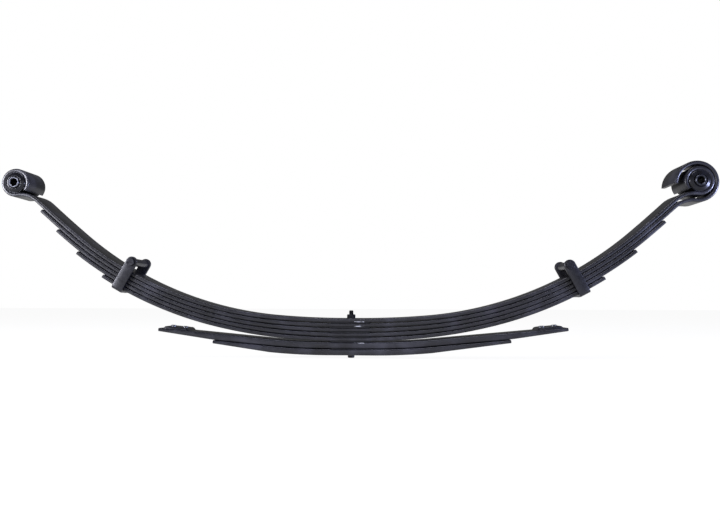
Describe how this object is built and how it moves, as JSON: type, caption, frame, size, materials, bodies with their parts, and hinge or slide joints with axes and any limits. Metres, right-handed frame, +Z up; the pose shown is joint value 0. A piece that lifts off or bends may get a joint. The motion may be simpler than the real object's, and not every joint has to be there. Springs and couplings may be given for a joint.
{
  "type": "multi-leaf truck spring",
  "caption": "Semi-elliptic leaf spring with rolled and wrapped eyes, rubber bushes, bolted rebound clips and a flat overload stage under the pack.",
  "frame": {"origin": "middle of the axle seat under the lowest leaf, on the centre bolt's axis", "axes": "+X along the spring towards the wrapped eye, +Y across the leaves, +Z up towards the eyes"},
  "size_m": [1.269, 0.0878, 0.3445],
  "materials": {
    "leaf_paint": "semi-gloss black paint",
    "strap_paint": "semi-gloss black paint",
    "liner_plate": "matt black anti-friction plate",
    "dark_steel": "black phosphate",
    "bright_steel": "zinc plate",
    "rubber": "matt"
  },
  "bodies": {
    "pack": {"main_leaf": "leaf_paint", "second_leaf": "leaf_paint", "third_leaf": "leaf_paint", "fourth_leaf": "leaf_paint", "fifth_leaf": "leaf_paint", "overload_leaf_upper": "leaf_paint", "overload_leaf_lower": "leaf_paint", "centre_liners": "liner_plate", "centre_bolt": "dark_steel", "centre_bolt_nut": "dark_steel"},
    "clip_left": {"clip_strap_left": "strap_paint", "clip_bolt_left": "bright_steel", "clip_nut_left": "bright_steel", "clip_tube_left": "strap_paint", "clip_rivet_left": "strap_paint", "tip_button_fifth_left": "liner_plate"},
    "eye_left": {"bush_shell_left": "dark_steel", "bush_rubber_left": "rubber", "tip_button_third_left": "liner_plate", "tip_button_fourth_left": "liner_plate", "tip_button_second_left": "liner_plate"},
    "sleeve_left": {"bush_sleeve_left": "bright_steel"},
    "overload_tip_left": {"overload_pad_left": "strap_paint", "overload_pad_rivets_left": "bright_steel"},
    "clip_right": {"clip_strap_right": "strap_paint", "clip_bolt_right": "bright_steel", "clip_nut_right": "bright_steel", "clip_tube_right": "strap_paint", "clip_rivet_right": "strap_paint", "tip_button_fifth_right": "liner_plate"},
    "eye_right": {"bush_shell_right": "dark_steel", "bush_rubber_right": "rubber", "tip_button_third_right": "liner_plate", "tip_button_fourth_right": "liner_plate"},
    "sleeve_right": {"bush_sleeve_right": "bright_steel"},
    "overload_tip_right": {"overload_pad_right": "strap_paint", "overload_pad_rivets_right": "bright_steel"}
  },
  "joints": [
    {"name": "arm_flex_left", "type": "hinge", "parent": "pack", "child": "clip_left", "pos_m": [-0.2307, 0, 0.066], "axis": [0, -1, 0], "range_deg": [0, 14], "stiffness_Nm_per_rad": 4500, "deforming": ["main_leaf", "second_leaf", "third_leaf", "fourth_leaf", "fifth_leaf"]},
    {"name": "end_flex_left", "type": "hinge", "parent": "clip_left", "child": "eye_left", "pos_m": [-0.485, 0, 0.1995], "axis": [0, -1, 0], "range_deg": [0, 8.4], "deforming": ["main_leaf", "second_leaf", "third_leaf", "fourth_leaf"]},
    {"name": "bush_twist_left", "type": "hinge", "parent": "eye_left", "child": "sleeve_left", "pos_m": [-0.60777, 0, 0.30685], "axis": [0, 1, 0], "range_deg": [-20, 20], "stiffness_Nm_per_rad": 60},
    {"name": "overload_flex_left", "type": "hinge", "parent": "pack", "child": "overload_tip_left", "pos_m": [-0.19, 0, 0.0262], "axis": [0, -1, 0], "range_deg": [0, 3], "stiffness_Nm_per_rad": 9000, "deforming": ["overload_leaf_upper", "overload_leaf_lower"]},
    {"name": "arm_flex_right", "type": "hinge", "parent": "pack", "child": "clip_right", "pos_m": [0.2307, 0, 0.066], "axis": [0, 1, 0], "range_deg": [0, 14], "stiffness_Nm_per_rad": 4500, "deforming": ["main_leaf", "second_leaf", "third_leaf", "fourth_leaf", "fifth_leaf"]},
    {"name": "end_flex_right", "type": "hinge", "parent": "clip_right", "child": "eye_right", "pos_m": [0.485, 0, 0.1995], "axis": [0, 1, 0], "range_deg": [0, 8.4], "deforming": ["main_leaf", "second_leaf", "third_leaf", "fourth_leaf"]},
    {"name": "bush_twist_right", "type": "hinge", "parent": "eye_right", "child": "sleeve_right", "pos_m": [0.6026, 0, 0.30362], "axis": [0, 1, 0], "range_deg": [-20, 20], "stiffness_Nm_per_rad": 60},
    {"name": "overload_flex_right", "type": "hinge", "parent": "pack", "child": "overload_tip_right", "pos_m": [0.19, 0, 0.0262], "axis": [0, 1, 0], "range_deg": [0, 3], "stiffness_Nm_per_rad": 9000, "deforming": ["overload_leaf_upper", "overload_leaf_lower"]}
  ],
  "couplings": [
    {"joint": "end_flex_left", "follows": "arm_flex_left", "ratio": 0.6},
    {"joint": "end_flex_right", "follows": "arm_flex_right", "ratio": 0.6}
  ]
}
